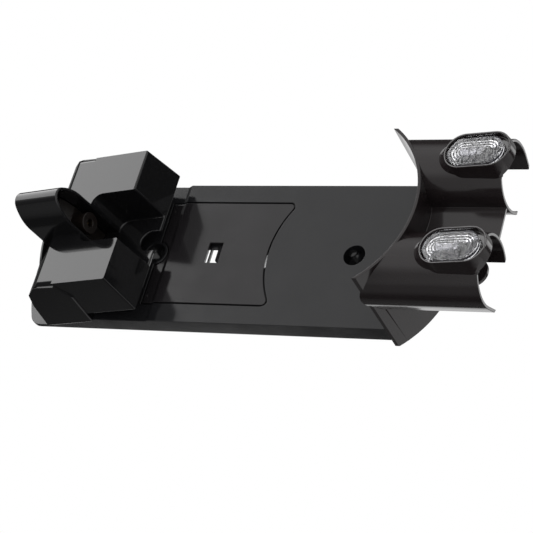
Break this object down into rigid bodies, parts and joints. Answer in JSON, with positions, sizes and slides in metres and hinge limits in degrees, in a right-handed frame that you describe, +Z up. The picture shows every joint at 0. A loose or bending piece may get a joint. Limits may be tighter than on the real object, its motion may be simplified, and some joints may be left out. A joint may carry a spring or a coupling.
{
  "type": "stick vacuum wall charging mount",
  "caption": "Black wall dock for a stick vacuum: long back plate with cord cover, tilted two-lobed cradle with plug hood, and a curved lower shelf with two open tool tubes.",
  "frame": {"origin": "on the wall plane, midway between the two wall screw holes", "axes": "+Z up the wall, -Y out of the wall towards the room, +X to the right as seen from the front; the plane y = 0 is the wall"},
  "size_m": [0.1168, 0.0919, 0.3776],
  "materials": {
    "plate_plastic": "glossy black ABS with fine moulding haze",
    "panel_plastic": "glossy black ABS",
    "cradle_plastic": "polished black ABS",
    "holder_plastic": "glossy black ABS, slightly warm",
    "seat_plastic": "satin brown-black nylon",
    "pin_metal": "plated brass",
    "lens_clear": "clear polycarbonate with a faceted back",
    "tray_silver": "metallised plastic",
    "screw_steel": "zinc plated"
  },
  "bodies": {
    "root": {"back_plate": "plate_plastic", "cover_panel": "panel_plastic", "cradle": "cradle_plastic", "plug_seat": "seat_plastic", "charge_pin": "pin_metal", "tool_holder": "holder_plastic", "lens_tray_left": "tray_silver", "lens_tray_right": "tray_silver", "lens_left": "lens_clear", "lens_right": "lens_clear", "cradle_screws": "screw_steel", "holder_screws": "screw_steel"}
  },
  "joints": []
}
